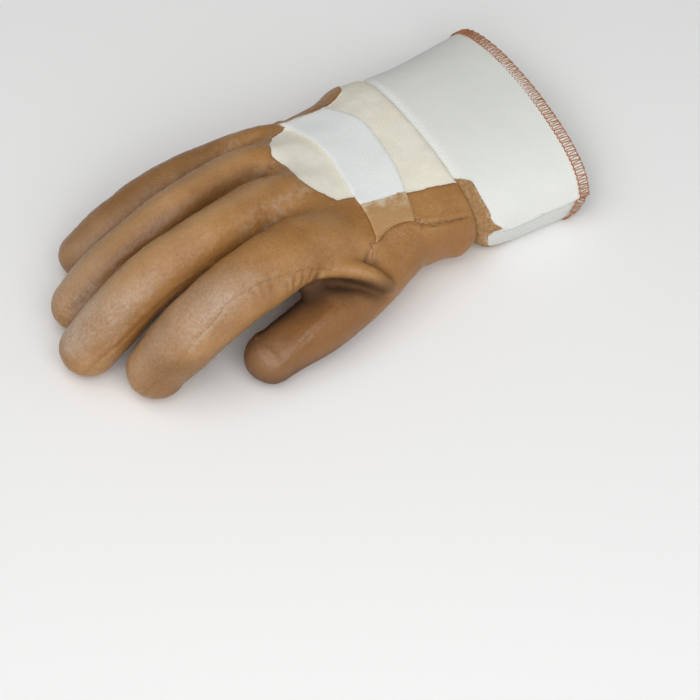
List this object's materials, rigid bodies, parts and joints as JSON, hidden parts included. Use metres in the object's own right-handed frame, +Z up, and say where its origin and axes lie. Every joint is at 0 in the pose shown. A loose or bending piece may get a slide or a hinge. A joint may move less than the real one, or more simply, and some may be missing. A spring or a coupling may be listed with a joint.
{
  "type": "work glove",
  "caption": "Rubber-coated work glove for the right hand, palm down, with a bare knit back, an elastic across the wrist and a stiff flared canvas cuff.",
  "frame": {"origin": "under the middle of the glove, on the surface that it lies on", "axes": "+X from the fingertips to the cuff's mouth, +Y from the thumb to the little finger, +Z up, out of the back of the hand"},
  "size_m": [0.2564, 0.1318, 0.0647],
  "materials": {
    "coating": "satin",
    "knit": "matte",
    "elastic": "matte",
    "canvas": "matte"
  },
  "bodies": {
    "root": {"back_panel": "coating", "palm_panel": "coating", "thumb_back": "coating", "thumb_palm": "coating", "bare_back": "knit", "elastic_band": "elastic", "cuff_back": "canvas", "cuff_palm": "canvas"}
  },
  "joints": []
}
